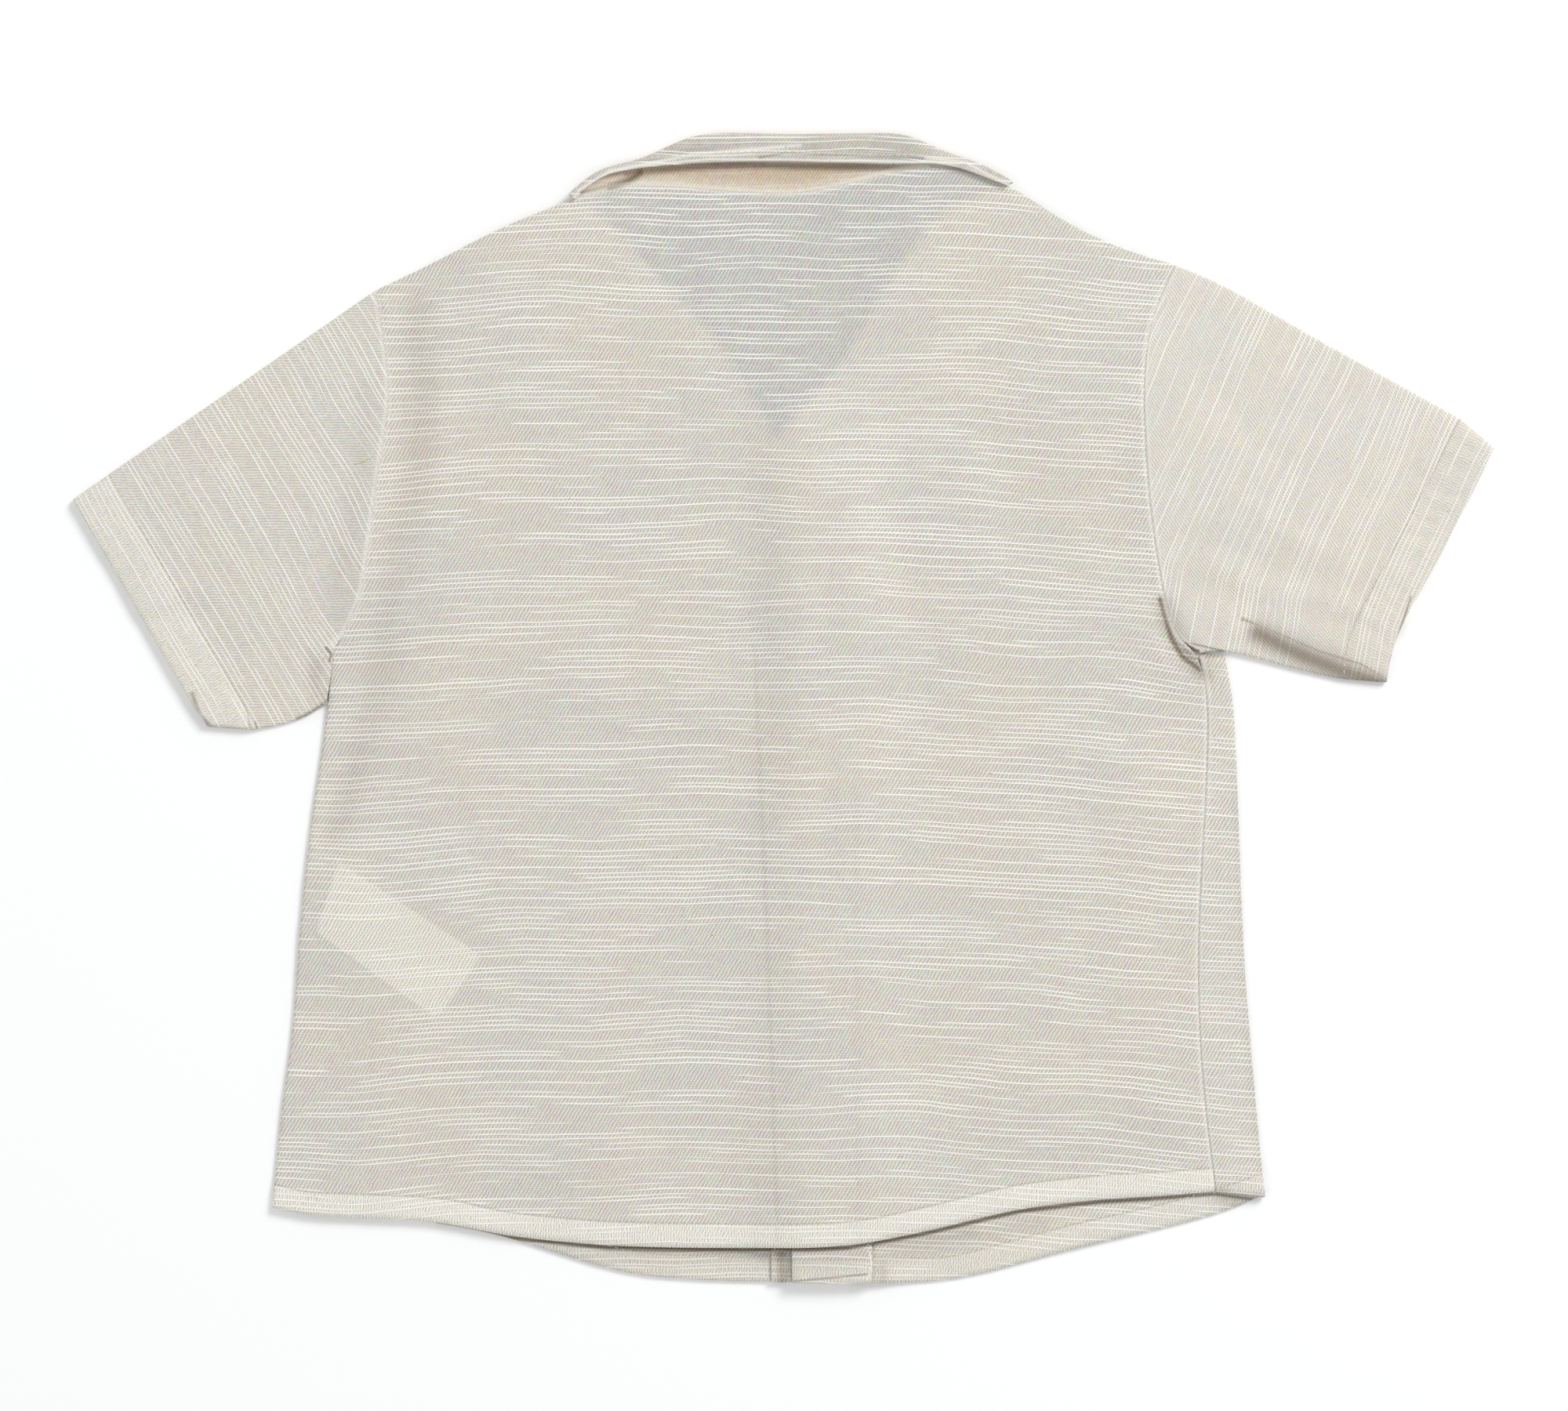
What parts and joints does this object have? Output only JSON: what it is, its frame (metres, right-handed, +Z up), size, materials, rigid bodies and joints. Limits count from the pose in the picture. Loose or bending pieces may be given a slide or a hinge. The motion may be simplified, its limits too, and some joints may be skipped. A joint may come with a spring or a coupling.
{
  "type": "short-sleeve shirt",
  "caption": "Small child's short-sleeve button-front shirt with a camp collar, laid flat on its front, in cream slub cotton.",
  "frame": {"origin": "on the surface that the shirt lies on, under the middle of its bounding box", "axes": "+X towards the wearer's right, +Y from the hem to the collar, +Z up, out of the shirt's back"},
  "size_m": [0.5178, 0.419, 0.0103],
  "materials": {
    "cloth": "slub cotton twill, cream with off-white thick yarns, matte",
    "label": "blank woven tape, off-white",
    "button": "cream, dished, softly glossy"
  },
  "bodies": {
    "root": {"back": "cloth", "front_left": "cloth", "front_right": "cloth", "facing_left": "cloth", "facing_right": "cloth", "lapel_left": "cloth", "lapel_right": "cloth", "sleeve_left": "cloth", "sleeve_right": "cloth", "collar": "cloth", "collar_leaf_left": "cloth", "collar_leaf_right": "cloth", "care_label": "label", "button_1": "button", "button_2": "button", "button_3": "button", "button_4": "button", "button_5": "button"}
  },
  "joints": []
}
